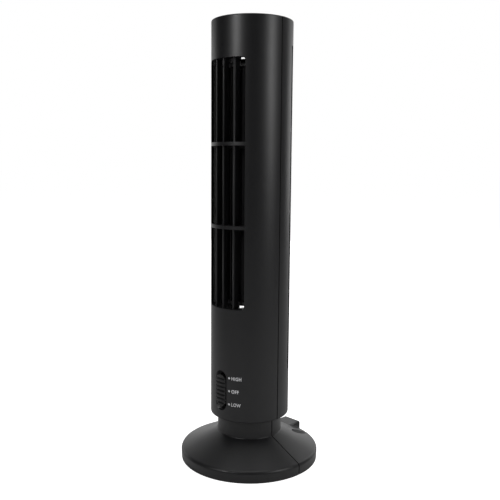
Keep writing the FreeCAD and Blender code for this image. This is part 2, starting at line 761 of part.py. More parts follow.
KNOB_BACK = "(recess_floor + slider_gap)"
knob_shape = stadium("knob_half_width", "knob_half_length", (-FAR, "-" + KNOB_BACK), "switch_height")
knob_skin = cylinder("knob_front", "100", 0, 0, 20)
knob_block = common(knob_shape, knob_skin)
grooves = []
for index in range(-3, 4):
    middle = "(switch_height + %d * groove_pitch)" % index
    grooves.append(box((-8, 8), (-FAR, -20), (middle + " - 0.55", middle + " + 0.55")))
groove_zone = cut(fuse(*grooves), cylinder("knob_front - 0.7", "100", 0, 0, 20))
knob_top = cut(knob_block, groove_zone)
stem = box((-2, 2), ("-" + KNOB_BACK + " - 0.3", "-recess_floor + 2.9"), ("switch_height - 2", "switch_height + 2"))
fork = box((-1.1, 1.1), (-FAR, FAR), ("switch_height - 0.85", "switch_height + 0.85"))
socket = common(fork, box((-5, 5), ("-recess_floor + 0.4", FAR), ("switch_height - 5", "switch_height + 5")))
node("switch_knob", cut(fuse(knob_top, stem), socket))
SWITCH_FRONT = "(-recess_floor + 3.3)"
lever = box((-1.0, 1.0), ("-recess_floor + 0.5", SWITCH_FRONT + " + 0.6"), ("switch_height - 0.75", "switch_height + 0.75"))
slide = box((-1.8, 1.8), (SWITCH_FRONT + " + 0.6", SWITCH_FRONT + " + 2"), ("switch_height - 3.2", "switch_height + 3.2"))
node("switch_slider", fuse(lever, slide))
case_outer = box((-3.6, 3.6), (SWITCH_FRONT, SWITCH_FRONT + " + 4"), ("switch_height - 9", "switch_height + 9"))
case_room = box((-3.1, 3.1), (SWITCH_FRONT + " + 0.3", SWITCH_FRONT + " + 5"), ("switch_height - 8.5", "switch_height + 8.5"))
case_slot = box((-1.3, 1.3), (SWITCH_FRONT + " - 1", SWITCH_FRONT + " + 1"),
                ("switch_height - 1.05 - switch_travel", "switch_height + 1.05 + switch_travel"))
tabs = box((-3.6, 3.6), (SWITCH_FRONT, SWITCH_FRONT + " + 0.5"), ("switch_height - 20", "switch_height + 20"))
tab_holes = []
for sign in ("-", "+"):
    tab_holes.append(cylinder("1.1", "6", 0, SWITCH_FRONT + " - 2", "(switch_height %s switch_screw_offset)" % sign, "y"))
node("switch_frame", cut(fuse(case_outer, tabs), case_room, case_slot, *tab_holes))
pins = []
for index in (-1, 0, 1, 2):
    middle = "(switch_height - 1.5 + %d * 3)" % index
    pins.append(box((-0.9, 0.9), (SWITCH_FRONT + " + 2.6", SWITCH_FRONT + " + 9"), (middle + " - 0.25", middle + " + 0.25")))
board = box((-3.0, 3.0), (SWITCH_FRONT + " + 3", SWITCH_FRONT + " + 4.2"), ("switch_height - 8.4", "switch_height + 8.4"))
node("switch_base", cut(board, *pins))
node("switch_terminals", group(*pins))
switch_screws = []
for sign in ("-", "+"):
    z = "(switch_height %s switch_screw_offset)" % sign
    y = "(%s + 0.5)" % SWITCH_FRONT
    shank = cylinder("0.9", "3.4", 0, y + " - 3.4", z, "y")
    head_cap = cylinder("1.6", "1.3", 0, y, z, "y")
    slot = box((-1.4, 1.4), (y + " + 0.8", y + " + 2"), (z + " - 0.25", z + " + 0.25"))
    switch_screws.append(cut(fuse(shank, head_cap), slot))
node("switch_screws", group(*switch_screws))

# ---------------------------------------------------------------- cross-flow impeller

SECTION = "((impeller_high - end_disc_thick - impeller_low) / 3)"


def impeller_section(label, index):
    """One moulded third of the impeller: a ring with a crown of curved blades on it."""
    low = "(impeller_low + %d * %s)" % (index, SECTION)
    wheel = body(label)
    face = sketch(wheel, "XY_Plane", low)
    ring(face, "impeller_radius")
    if index:
        ring(face, "blade_inner_radius - 1.2")
    pad(wheel, face, "end_disc_thick" if index == 0 else "ring_thick")
    doc.recompute()
    face = sketch(wheel, "XY_Plane", low + " + 0.4")
    lean = 16.0
    swell = 5.0
    points = []
    for part, offset in ((0.0, -0.5), (0.5, -0.5), (1.0, -0.5), (1.0, 0.5), (0.5, 0.5), (0.0, 0.5)):
        angle = math.radians(lean * part + swell * math.sin(math.pi * part))
        radius = "(blade_inner_radius + %.3f * (impeller_radius - 0.2 - blade_inner_radius))" % part
        shift = "%+.3f * blade_thick" % offset
        points.append(("%s * %.5f - (%.5f) * (%s)" % (radius, math.cos(angle), math.sin(angle), shift),
                       "%s * %.5f + (%.5f) * (%s)" % (radius, math.sin(angle), math.cos(angle), shift)))
    outline(face, points)
    blade = pad(wheel, face, SECTION + " - 0.4")
    doc.recompute()
    crown = wheel.newObject("PartDesign::PolarPattern", "crown")
    crown.Originals = [blade]
    crown.Axis = (face, ["N_Axis"])
    crown.Angle = 360
    wheel.Tip = crown
    crown.setExpression("Occurrences", formula("blade_count"))
    doc.recompute()
    if index == 0:
        face = sketch(wheel, "XY_Plane", low + " + end_disc_thick - 0.2")
        ring(face, "4.2")
        pad(wheel, face, "7.5")
        doc.recompute()
        face = sketch(wheel, "XY_Plane", low)
        ring(face, "motor_shaft_radius")
        pocket(wheel, face, "8", reverse=True)
    return node(label, wheel)


impeller_section("impeller_lower", 0)
impeller_section("impeller_middle", 1)
impeller_section("impeller_upper", 2)

cap = body("impeller_end_disc")
face = sketch(cap, "XY_Plane", "impeller_high - end_disc_thick")
ring(face, "impeller_radius")
pad(cap, face, "end_disc_thick")
doc.recompute()
face = sketch(cap, "XY_Plane", "impeller_high - 0.2")
ring(face, "end_hub_radius")
pad(cap, face, "end_hub_rise + 0.2")
doc.recompute()
face = sketch(cap, "XY_Plane", "impeller_high - end_disc_thick - 5")
ring(face, "4.2")
pad(cap, face, "5.2")
doc.recompute()
face = sketch(cap, "XY_Plane", "impeller_high - end_disc_thick - 6")
ring(face, "shaft_radius")
pocket(cap, face, "20", reverse=True)
node("impeller_end_disc", cap)
node("top_shaft", cylinder("shaft_radius", "bush_low + bush_thick + 0.6 - impeller_high + 6", 0, 0, "impeller_high - 6"))

# ---------------------------------------------------------------- top bearing

node("top_bush", cut(cylinder("bush_radius", "bush_thick", 0, 0, "bush_low"),
                     cylinder("shaft_radius + bush_clearance", "40", 0, 0, "bush_low - 10")))
holder = cut(cylinder("bush_radius + 2.2", "bush_thick", 0, 0, "bush_low"),
             cylinder("bush_radius", "40", 0, 0, "bush_low - 10"))
node("bearing_sleeve", holder)
seat = cylinder("bush_radius + 4.2", "bush_thick", 0, 0, "bush_low")
arms = box((-24.0, 24.0), (-16.5, -8.5), ("bush_low", "bush_low + bracket_thick"))
bridge = box((-6, 6), (-12, 0), ("bush_low", "bush_low + bush_thick"))
arm_zone = common(arms, cylinder("bracket_radius - 0.3", "40", 0, 0, "bush_low - 10"))
arm_holes = []
for side in ("-1", "1"):
    arm_holes.append(cylinder("screw_radius + 0.15", "40", "(%s * 21.5)" % side, -12.5, "bush_low - 10"))
node("bearing_bracket", cut(fuse(seat, arm_zone, bridge),
                            cylinder("bush_radius + 2.2", "40", 0, 0, "bush_low - 10"), *arm_holes))
node("bearing_screws", group(*[
    screw("(%s * 21.5)" % side, "-12.5", "bush_low + bracket_thick", "z", "bracket_thick + 4.6", sign=-1)
    for side in ("-1", "1")]))

# ---------------------------------------------------------------- motor

can = cut(cylinder("motor_radius", "motor_high - motor_low", 0, 0, "motor_low"),
          cylinder("motor_radius - motor_wall", "motor_high - motor_low - motor_wall", 0, 0, "motor_low - 0"),
          cylinder("2.5", "60", 0, 0, "motor_low + 5"),
          cylinder("1.2", "10", -8, 0, "motor_high - 5"),
          cylinder("1.2", "10", 8, 0, "motor_high - 5"))
node("motor_can", can)
node("motor_end_cap", cut(
    fuse(cylinder("motor_radius - motor_wall", "2.4", 0, 0, "motor_low"),
         cylinder("3.6", "4.6", 0, 0, "motor_low - 1.8")),
    cylinder("2.4", "60", 0, 0, "motor_low - 20"),
    box(("4.6", "5.4"), (-1.1, 1.1), ("motor_low - 5", "motor_low + 5")),
    box(("-5.4", "-4.6"), (-1.1, 1.1), ("motor_low - 5", "motor_low + 5"))))
bushes = []
for low, tall, radius in (("motor_low - 1.8", "4.6", "2.4"), ("motor_high - 2.6", "4.1", "2.5")):
    bushes.append(cut(cylinder(radius, tall, 0, 0, low),
                      cylinder("motor_shaft_radius + bush_clearance", "60", 0, 0, low + " - 20")))
node("motor_bushes", group(*bushes))
node("motor_shaft", cylinder("motor_shaft_radius", "impeller_low + 7.5 - motor_low + 2.4", 0, 0, "motor_low - 2.4"))
rotor_core = cylinder("rotor_radius", "motor_high - motor_low - 16", 0, 0, "motor_low + 9")
slots = []
for angle in (0, 120, 240):
    gap = box((4.5, 12), (-1.0, 1.0), ("motor_low", "motor_high"))
    slots.append(moved(gap, turn=angle))
rotor_hole = cylinder("motor_shaft_radius", "60", 0, 0, "motor_low - 10")
commutator = cylinder("2.6", "5.3", 0, 0, "motor_low + 3.4")
node("motor_rotor", cut(rotor_core, rotor_hole, *slots))
node("commutator", cut(commutator, rotor_hole))
magnet_ring = cut(cylinder("motor_radius - motor_wall - 0.05", "motor_high - motor_low - 15", 0, 0, "motor_low + 8.5"),
                  cylinder("rotor_radius + magnet_gap", "60", 0, 0, "motor_low - 10"),
                  box((-20, 20), (-2.5, 2.5), ("motor_low", "motor_high")))
node("motor_magnets", magnet_ring)
tabs = []
for side in ("-5", "5"):
    tabs.append(box((side + " - 0.35", side + " + 0.35"), (-1.0, 1.0), ("motor_low - 3.5", "motor_low + 3")))
node("motor_terminals", group(*tabs))

PLATE_LOW = "(motor_high + 2)"
damper = cut(cylinder("motor_radius + 1", "2", 0, 0, "motor_high"), cylinder("4", "30", 0, 0, "motor_high - 5"))
damper_holes = []
for side in ("-8", "8"):
    damper_holes.append(cylinder("1.35", "30", side, 0, "motor_high - 5"))
node("motor_damper", cut(damper, *damper_holes))
plate = cylinder("motor_radius + 3", "bracket_thick", 0, 0, PLATE_LOW)
plate_arm = common(box((-24.2, 24.2), (-16.5, -3), (PLATE_LOW, PLATE_LOW + " + bracket_thick")),
                   cylinder("bracket_radius - 0.3", "60", 0, 0, "motor_high - 10"))
plate_holes = [cylinder("3", "60", 0, 0, "motor_high - 10")]
for side in ("-1", "1"):
    plate_holes.append(cylinder("screw_radius + 0.15", "60", "(%s * 21.5)" % side, -12.5, "motor_high - 10"))
    plate_holes.append(cylinder("1.35", "60", "(%s * 8)" % side, 0, "motor_high - 10"))
node("motor_bracket", cut(fuse(plate, plate_arm), *plate_holes))
node("bracket_screws", group(*[
    screw("(%s * 21.5)" % side, "-12.5", PLATE_LOW + " + bracket_thick", "z", "bracket_thick + 2.6", sign=-1)
    for side in ("-1", "1")]))
motor_screws = []
for side in ("-8", "8"):
    shank = cylinder("1.2", "bracket_thick + 3.4", side, 0, "motor_high - 1.4")
    head_cap = cylinder("2.2", "1.4", side, 0, PLATE_LOW + " + bracket_thick")
    slot = box((side + " - 1.6", side + " + 1.6"), ("-0.3", "0.3"),
               (PLATE_LOW + " + bracket_thick + 0.9", PLATE_LOW + " + bracket_thick + 3"))
    motor_screws.append(cut(fuse(shank, head_cap), slot))
node("motor_screws", group(*motor_screws))

# ---------------------------------------------------------------- speed resistor and wires

node("speed_resistor", box((1.2, 7.2), (SWITCH_FRONT + " + 4.5", SWITCH_FRONT + " + 10.5"),
                           ("switch_height - 9", "switch_height + 9")))


def wire(points, radius="0.75"):
    """Insulated wire that runs along the axes through points given as numbers or formulas."""
    pieces = []
    for first, last in zip(points, points[1:]):
        axis = [index for index in range(3) if first[index] != last[index]][0]
        low, high = first[axis], last[axis]
        if doc_value(low) > doc_value(high):
            low, high = high, low
        start = list(first)
        start[axis] = low
        pieces.append(cylinder(radius, "(%s) - (%s)" % (high, low), *start, axis="xyz"[axis]))
    for x, y, z in points[1:-1]:
        ball = doc.addObject("Part::Sphere", "bend")
        bind(ball, Radius=radius)
        place(ball, x, y, z)
        pieces.append(ball)
    return fuse(*pieces)


JACK_TAB = "(" + JACK_BACK + " - 3.2)"
WIRE_Y = "(%s + 9.3)" % SWITCH_FRONT
node("supply_wires", group(
    wire([("0", JACK_TAB, "jack_height + 1.1"), ("0", "20", "jack_height + 1.1"),
          ("0", "20", "switch_height - 4.5"), ("0", WIRE_Y, "switch_height - 4.5")]),
    wire([("-3", JACK_TAB + " + 3", "jack_height"), ("-3", JACK_TAB + " - 1", "jack_height"),
          ("-3", "17", "jack_height"), ("-3", "17", "motor_low - 7"), ("-5", "17", "motor_low - 7"),
          ("-5", "0", "motor_low - 7"), ("-5", "0", "motor_low - 3.6")])))
node("motor_wire", wire([("-1.8", SWITCH_FRONT + " + 5", "switch_height + 1.5"), ("-1.8", "5", "switch_height + 1.5"),
                         ("5", "5", "switch_height + 1.5"), ("5", "0", "switch_height + 1.5"),
                         ("5", "0", "motor_low - 3.6")]))

# ---------------------------------------------------------------- write the parts

doc.removeObject(probe.Name)
doc.recompute()
problems = []
for obj in doc.Objects:
    if "Invalid" in obj.State or "Error" in obj.State:
        problems.append("%s %s" % (obj.Label, obj.State))
for label, obj in nodes.items():
    if obj.Shape.isNull() or not obj.Shape.isValid() or not obj.Shape.Solids:
        problems.append("bad shape: " + label)
if problems:
    raise RuntimeError("; ".join(problems))
for label, obj in nodes.items():
    obj.Shape.exportStep("parts/%s.step" % label)
    volumes = [round(solid.Volume, 1) for solid in obj.Shape.Solids]
    print(label, len(volumes), volumes[:4])
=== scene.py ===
import json
import math
import bpy
import bmesh
from mathutils import Matrix, Vector


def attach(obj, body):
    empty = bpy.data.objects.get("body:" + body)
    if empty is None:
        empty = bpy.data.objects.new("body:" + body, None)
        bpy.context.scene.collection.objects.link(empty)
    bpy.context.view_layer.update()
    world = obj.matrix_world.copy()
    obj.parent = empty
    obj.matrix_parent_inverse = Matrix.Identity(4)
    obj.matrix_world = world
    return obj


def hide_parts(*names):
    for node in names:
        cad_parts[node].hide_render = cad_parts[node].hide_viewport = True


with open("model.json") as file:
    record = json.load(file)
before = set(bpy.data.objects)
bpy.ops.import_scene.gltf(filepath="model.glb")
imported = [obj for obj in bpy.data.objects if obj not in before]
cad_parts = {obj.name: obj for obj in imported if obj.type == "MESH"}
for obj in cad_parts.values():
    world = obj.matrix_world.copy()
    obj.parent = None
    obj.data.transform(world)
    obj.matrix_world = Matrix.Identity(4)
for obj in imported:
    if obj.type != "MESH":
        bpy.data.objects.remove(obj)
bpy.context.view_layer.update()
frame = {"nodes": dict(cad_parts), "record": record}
scene = bpy.context.scene
nodes = frame["nodes"]

MM = 0.001

# ---------------------------------------------------------------- small node helpers


def fresh_tree(tree):
    """Empty a node tree that Blender filled with its defaults."""
    tree.nodes.clear()
    return tree


def add(tree, kind, **settings):
    """New node; its own settings and its inputs are given by name, with underscores for spaces."""
    made = tree.nodes.new(kind)
    for name, value in settings.items():
        if hasattr(made, name):
            setattr(made, name, value)
        else:
            made.inputs[name.replace("_", " ")].default_value = value
    return made


def join(tree, source, output, target, place):
    """Link one node's output to another's input, each given by name or number."""
    tree.links.new(source.outputs[output], target.inputs[place])


def socket(group, name, kind, way, value=None):
    """Named input or output on a group's outside."""
    made = group.interface.new_socket(name, in_out=way, socket_type=kind)
    if value is not None:
        made.default_value = value
    return made


# ---------------------------------------------------------------- shared surface effects

# places of a colour mix node's sockets: its two inputs and its result
MIX_FIRST, MIX_SECOND, MIX_RESULT = 6, 7, 2
MM_IN_METRE = 1000.0
# stretch of the noise along x, y and z
SMEAR_STRETCH = (60.0, 60.0, 9.0)
LINE_STRETCH = (80.0, 80.0, 1000.0)
# noise values where tarnish begins and where it is full
TARNISH_FROM, TARNISH_FULL = 0.42, 0.68
LINE_GLOSS = 0.25
# how far beyond half the joint's gap the painted shade reaches, as a factor
PAINTED_SHADE_REACH = 1.05


def make_moulded_skin():
    """Spark-eroded mould texture: fine grain height, soft patches of gloss, faint handling smears."""
    group = bpy.data.node_groups.new("moulded_skin", "ShaderNodeTree")
    socket(group, "Grain size", "NodeSocketFloat", "INPUT", 0.35)
    socket(group, "Base roughness", "NodeSocketFloat", "INPUT", 0.4)
    socket(group, "Patchiness", "NodeSocketFloat", "INPUT", 0.06)
    socket(group, "Colour", "NodeSocketColor", "INPUT")
    socket(group, "Colour spread", "NodeSocketFloat", "INPUT", 0.15)
    socket(group, "Colour", "NodeSocketColor", "OUTPUT")
    socket(group, "Roughness", "NodeSocketFloat", "OUTPUT")
    socket(group, "Height", "NodeSocketFloat", "OUTPUT")
    start = add(group, "NodeGroupInput")
    end = add(group, "NodeGroupOutput")
    place = add(group, "ShaderNodeTexCoord")
    pitch = add(group, "ShaderNodeMath", operation="DIVIDE")
    pitch.inputs[0].default_value = MM_IN_METRE
    join(group, start, "Grain size", pitch, 1)
    grain = add(group, "ShaderNodeTexNoise", Detail=3.0, Roughness=0.62)
    join(group, place, "Object", grain, "Vector")
    join(group, pitch, 0, grain, "Scale")
    patches = add(group, "ShaderNodeTexNoise", Scale=34.0, Detail=4.0, Roughness=0.55)
    join(group, place, "Object", patches, "Vector")
    smear_room = add(group, "ShaderNodeMapping")
    smear_room.inputs["Scale"].default_value = SMEAR_STRETCH
    join(group, place, "Object", smear_room, "Vector")
    smears = add(group, "ShaderNodeTexNoise", Scale=1.0, Detail=5.0, Roughness=0.7)
    join(group, smear_room, 0, smears, "Vector")
    blend = add(group, "ShaderNodeMath", operation="ADD")
    join(group, patches, 0, blend, 0)
    join(group, smears, 0, blend, 1)
    centred = add(group, "ShaderNodeMath", operation="SUBTRACT")
    centred.inputs[1].default_value = 1.0
    join(group, blend, 0, centred, 0)
    rough = add(group, "ShaderNodeMath", operation="MULTIPLY_ADD")
    join(group, centred, 0, rough, 0)
    join(group, start, "Patchiness", rough, 1)
    join(group, start, "Base roughness", rough, 2)
    shade = add(group, "ShaderNodeMath", operation="MULTIPLY_ADD")
    shade.inputs[2].default_value = 1.0
    join(group, centred, 0, shade, 0)
    join(group, start, "Colour spread", shade, 1)
    tint = add(group, "ShaderNodeVectorMath", operation="SCALE")
    join(group, start, "Colour", tint, 0)
    join(group, shade, 0, tint, "Scale")
    join(group, tint, 0, end, "Colour")
    join(group, rough, 0, end, "Roughness")
    join(group, grain, 0, end, "Height")
    return group


def make_drawn_metal():
    """Fine lines left by rolling or turning, with a little tarnish."""
    group = bpy.data.node_groups.new("drawn_metal", "ShaderNodeTree")
    socket(group, "Line spacing", "NodeSocketFloat", "INPUT", 0.2)
    socket(group, "Base roughness", "NodeSocketFloat", "INPUT", 0.3)
    socket(group, "Bright", "NodeSocketColor", "INPUT")
    socket(group, "Tarnish", "NodeSocketColor", "INPUT")
    socket(group, "Colour", "NodeSocketColor", "OUTPUT")
    socket(group, "Roughness", "NodeSocketFloat", "OUTPUT")
    socket(group, "Height", "NodeSocketFloat", "OUTPUT")
    start = add(group, "NodeGroupInput")
    end = add(group, "NodeGroupOutput")
    place = add(group, "ShaderNodeTexCoord")
    pitch = add(group, "ShaderNodeMath", operation="DIVIDE")
    pitch.inputs[0].default_value = 1.0
    join(group, start, "Line spacing", pitch, 1)
    stretch = add(group, "ShaderNodeMapping")
    stretch.inputs["Scale"].default_value = LINE_STRETCH
    join(group, place, "Object", stretch, "Vector")
    lines = add(group, "ShaderNodeTexNoise", Detail=4.0, Roughness=0.7)
    join(group, stretch, 0, lines, "Vector")
    join(group, pitch, 0, lines, "Scale")
    cloud = add(group, "ShaderNodeTexNoise", Scale=120.0, Detail=5.0, Roughness=0.6)
    join(group, place, "Object", cloud, "Vector")
    spread = add(group, "ShaderNodeMapRange")
    spread.inputs["From Min"].default_value = TARNISH_FROM
    spread.inputs["From Max"].default_value = TARNISH_FULL
    join(group, cloud, 0, spread, 0)
    mix = add(group, "ShaderNodeMix", data_type="RGBA")
    join(group, spread, 0, mix, 0)
    join(group, start, "Bright", mix, MIX_FIRST)
    join(group, start, "Tarnish", mix, MIX_SECOND)
    rough = add(group, "ShaderNodeMath", operation="MULTIPLY_ADD")
    rough.inputs[1].default_value = LINE_GLOSS
    join(group, lines, 0, rough, 0)
    join(group, start, "Base roughness", rough, 2)
    join(group, mix, MIX_RESULT, end, "Colour")
    join(group, rough, 0, end, "Roughness")
    join(group, lines, 0, end, "Height")
    return group


def make_joint_painted_shade():
    """Mask of the joint between the two shells, where the colour is darkened as painted shade in the
    gap.
    """
    group = bpy.data.node_groups.new("joint_painted_shade", "ShaderNodeTree")
    socket(group, "Half gap", "NodeSocketFloat", "INPUT", 0.0004)
    socket(group, "Colour", "NodeSocketColor", "INPUT")
    socket(group, "Roughness", "NodeSocketFloat", "INPUT", 0.4)
    socket(group, "Painted shade", "NodeSocketColor", "INPUT")
    socket(group, "Colour", "NodeSocketColor", "OUTPUT")
    socket(group, "Roughness", "NodeSocketFloat", "OUTPUT")
    start = add(group, "NodeGroupInput")
    end = add(group, "NodeGroupOutput")
    split = add(group, "ShaderNodeSeparateXYZ")
    join(group, add(group, "ShaderNodeTexCoord"), "Object", split, 0)
    depth = add(group, "ShaderNodeMath", operation="ABSOLUTE")
    join(group, split, 1, depth, 0)
    limit = add(group, "ShaderNodeMath", operation="MULTIPLY")
    limit.inputs[1].default_value = PAINTED_SHADE_REACH
    join(group, start, "Half gap", limit, 0)
    mask = add(group, "ShaderNodeMath", operation="LESS_THAN")
    join(group, depth, 0, mask, 0)
    join(group, limit, 0, mask, 1)
    # inside the mask the colour turns to near black and the roughness rises to 1: painted shade in the
    # seam
    shade = add(group, "ShaderNodeMix", data_type="RGBA")
    join(group, mask, 0, shade, 0)
    join(group, start, "Colour", shade, MIX_FIRST)
    join(group, start, "Painted shade", shade, MIX_SECOND)
    dull = add(group, "ShaderNodeMapRange")
    dull.inputs["To Max"].default_value = 1.0
    join(group, mask, 0, dull, 0)
    join(group, start, "Roughness", dull, "To Min")
    join(group, shade, MIX_RESULT, end, "Colour")
    join(group, dull, 0, end, "Roughness")
    return group


MOULDED = make_moulded_skin()
DRAWN = make_drawn_metal()
JOINT = make_joint_painted_shade()


def finish_shader(name, effect, inputs, bump, **surface):
    """A material whose colour, roughness and relief come from one shared effect."""
    made = bpy.data.materials.new(name)
    made.use_nodes = True
    tree = fresh_tree(made.node_tree)
    out = add(tree, "ShaderNodeOutputMaterial")
    skin = add(tree, "ShaderNodeBsdfPrincipled")
    for key, value in surface.items():
        skin.inputs[key.replace("_", " ")].default_value = value
    look = tree.nodes.new("ShaderNodeGroup")
    look.node_tree = effect
    for key, value in inputs.items():
        look.inputs[key].default_value = value
    relief = add(tree, "ShaderNodeBump", Strength=bump[0], Distance=bump[1])
    join(tree, look, "Height", relief, "Height")
    join(tree, look, "Colour", skin, "Base Color")
    join(tree, look, "Roughness", skin, "Roughness")
    join(tree, relief, "Normal", skin, "Normal")
    join(tree, skin, 0, out, "Surface")
    return made


def plastic(name, colour, roughness, grain=0.35, patch=0.05, spread=0.15, bump=(0.12, 0.00004),
            **surface):
    """Moulded or cast material; bump is the relief's strength and its depth in metres."""
    inputs = {"Colour": (*colour, 1.0), "Base roughness": roughness, "Grain size": grain,
              "Patchiness": patch, "Colour spread": spread}
    return finish_shader(name, MOULDED, inputs, bump, **surface)


def metal(name, bright, tarnish, roughness, spacing=0.2, bump=(0.15, 0.00003)):
    """Rolled, turned or plated metal."""
    inputs = {"Bright": (*bright, 1.0), "Tarnish": (*tarnish, 1.0), "Base roughness": roughness,
              "Line spacing": spacing}
    return finish_shader(name, DRAWN, inputs, bump, Metallic=1.0)


FINISH = {
    "housing_black": plastic("satin_black_housing", (0.0105, 0.0105, 0.0115), 0.40, patch=0.05),
    "knob_black": plastic("fine_black_knob", (0.013, 0.013, 0.0135), 0.46, grain=0.25),
    "impeller_black": plastic("impeller_plastic", (0.016, 0.016, 0.017), 0.36, grain=0.5, patch=0.1),
    "frame_plastic": plastic("inner_frame_plastic", (0.02, 0.02, 0.021), 0.5),
    "foot_rubber": plastic("foot_rubber", (0.018, 0.018, 0.018), 0.78, grain=0.2, bump=(0.4, 0.00005)),
    "damper_rubber": plastic("damper_rubber", (0.03, 0.03, 0.032), 0.7, grain=0.3, bump=(0.3, 0.00005)),
    "ballast_steel": metal("ballast_zinc", (0.5, 0.51, 0.52), (0.36, 0.36, 0.35), 0.32, 0.4),
    "screw_steel": metal("screw_zinc", (0.6, 0.61, 0.62), (0.42, 0.41, 0.38), 0.25, 0.12),
    "shaft_steel": metal("ground_shaft", (0.66, 0.67, 0.68), (0.55, 0.55, 0.54), 0.14, 0.1),
    "motor_steel": metal("plated_can", (0.6, 0.61, 0.61), (0.45, 0.45, 0.43), 0.22, 0.3),
    "rotor_steel": metal("rotor_laminations", (0.3, 0.28, 0.26), (0.2, 0.15, 0.12), 0.4, 0.5),
    "magnet": plastic("ferrite_magnet", (0.035, 0.035, 0.037), 0.6, grain=0.2),
    "bronze": metal("sintered_bronze", (0.62, 0.4, 0.2), (0.4, 0.24, 0.12), 0.38, 0.15),
    "contact_metal": metal("contact_brass", (0.75, 0.6, 0.32), (0.5, 0.38, 0.2), 0.25, 0.15),
    "switch_nylon": plastic("white_nylon", (0.66, 0.65, 0.62), 0.45),
    "switch_board": plastic("phenolic_board", (0.22, 0.11, 0.045), 0.5, spread=0.5),
    "resistor_ceramic": plastic("cement_resistor", (0.68, 0.67, 0.63), 0.75, grain=0.3,
                                bump=(0.5, 0.00006)),
    "wire_sleeve": plastic("wire_sleeve", (0.32, 0.02, 0.016), 0.42),
}
INK = plastic("marking_ink", (0.93, 0.93, 0.95), 0.55, grain=0.2, spread=0.1)


def settle_painted_shade(material, half_gap, painted_shade):
    """Put the joint's painted shade between a moulded material's effect and its shader."""
    tree = material.node_tree
    skin = next(n for n in tree.nodes if n.type == "BSDF_PRINCIPLED")
    look = next(n for n in tree.nodes if n.type == "GROUP")
    seam_shade = tree.nodes.new("ShaderNodeGroup")
    seam_shade.node_tree = JOINT
    seam_shade.inputs["Half gap"].default_value = half_gap
    seam_shade.inputs["Painted shade"].default_value = (*painted_shade, 1.0)
    for name, target in (("Colour", "Base Color"), ("Roughness", "Roughness")):
        join(tree, look, name, seam_shade, name)
        join(tree, seam_shade, name, skin, target)


HALF_SEAM = 0.4 * MM
# near-black colour of the painted shade that stands in for the shadow inside the seam between the
# shells
PAINTED_SHADE_COLOUR = (0.0012, 0.0012, 0.0012)
settle_painted_shade(FINISH["housing_black"], HALF_SEAM, PAINTED_SHADE_COLOUR)

slot_of = {part["node"]: part["material_slot"] for part in frame["record"]["subparts"]}
for name, node in nodes.items():
    node.data.materials.clear()
    node.data.materials.append(FINISH[slot_of[name]])

# ---------------------------------------------------------------- smooth skins for the moulded pieces

BODY_OF = {}
for body_name, members in frame["record"]["behaviour"]["bodies"].items():
    for member in members:
        BODY_OF[member] = body_name


def corner_arc(before, corner, after, radius):
    """Centre of the fillet that rounds a profile corner; points are (radius, height) in millimetres."""
    corner, before, after = Vector(corner), Vector(before), Vector(after)
    one, two = (before - corner).normalized(), (after - corner).normalized()
    half = one.angle(two) / 2
    return corner + (one + two).normalized() * (radius / math.sin(half)), radius


# the housing's turned profile, as (radius, height) in millimetres: its corners, its straight
# walls, and its fillets with 1 where they bulge and -1 where they are hollow
FOOT_EDGE, RIM_EDGE, NECK_EDGE = (52.8, 0.5), (53.1, 8.4), (24.6, 21.9)
NECK_TOP, TUBE_LOW, TUBE_TOP, CROWN = (24.6, 36.2), (30.1, 36.2), (30.1, 330.0), (0.0, 330.0)
WALLS = [(FOOT_EDGE, RIM_EDGE), (RIM_EDGE, NECK_EDGE), (NECK_EDGE, NECK_TOP), (TUBE_LOW, TUBE_TOP)]
ROUNDS = [
    (*corner_arc(FOOT_EDGE, RIM_EDGE, NECK_EDGE, 3.0), 1),
    (*corner_arc(RIM_EDGE, NECK_EDGE, NECK_TOP, 1.0), -1),
    (*corner_arc(NECK_TOP, TUBE_LOW, TUBE_TOP, 0.9), 1),
    (*corner_arc(TUBE_LOW, TUBE_TOP, CROWN, 0.9), 1),
]
# how near a point lies to the profile, and how far past a fillet's or a wall's end it may be
ON_PROFILE = 0.03
PAST_ROUND = 0.02
PAST_WALL = 0.05
DIPS_INWARD = -0.05
# points nearer the axis than this are inside the tower
INNER_RADIUS = 20
# cosines between normals: on the same side of the wall, and on a level face
SAME_SIDE = 0.86
LEVEL_FACE = 0.999


def turned_normal(radius, height):
    """Outward direction, as radius and height, of the turned profile at a point that lies on it."""
    here = Vector((radius, height))
    for centre, size, way in ROUNDS:
        gap = abs((here - centre).length - size)
        if gap < ON_PROFILE and way * (radius - centre.x) > -PAST_ROUND:
            out = (here - centre) * way
            if out.x >= DIPS_INWARD:
                return out.normalized()
    for low, high in WALLS:
        run = Vector(high) - Vector(low)
        out = Vector((run.y, -run.x)).normalized()
        if run.y < 0:
            out = -out
        along = (here - Vector(low)).dot(run) / run.length_squared
        gap = abs((here - Vector(low)).dot(out))
        if -PAST_WALL < along < 1 + PAST_WALL and gap < ON_PROFILE:
            return out
    return None


def true_normals(mesh):
    """Give every face on the turned outside the exact normals of that surface."""
    smooth = [Vector(n.vector) for n in mesh.corner_normals]
    known = {}
    for face in mesh.polygons:
        found = []
        for index in face.vertices:
            if index not in known:
                place = mesh.vertices[index].co / MM
                reach = math.hypot(place.x, place.y)
                out = turned_normal(reach, place.z) if reach > INNER_RADIUS else None
                if out is not None:
                    out = Vector((out.x * place.x / reach, out.x * place.y / reach, out.y))
                known[index] = out
            found.append(known[index])
        if all(out is not None and out.dot(face.normal) > SAME_SIDE for out in found):
            for loop, out in zip(face.loop_indices, found):
                smooth[loop] = out
        elif abs(face.normal.z) > LEVEL_FACE:
            for loop in face.loop_indices:
                smooth[loop] = face.normal.copy()
    mesh.normals_split_custom_set(smooth)


MERGE_REACH = 0.002 * MM
SLIVER_LENGTH = 0.001 * MM
SHARP_ANGLE = math.radians(28)


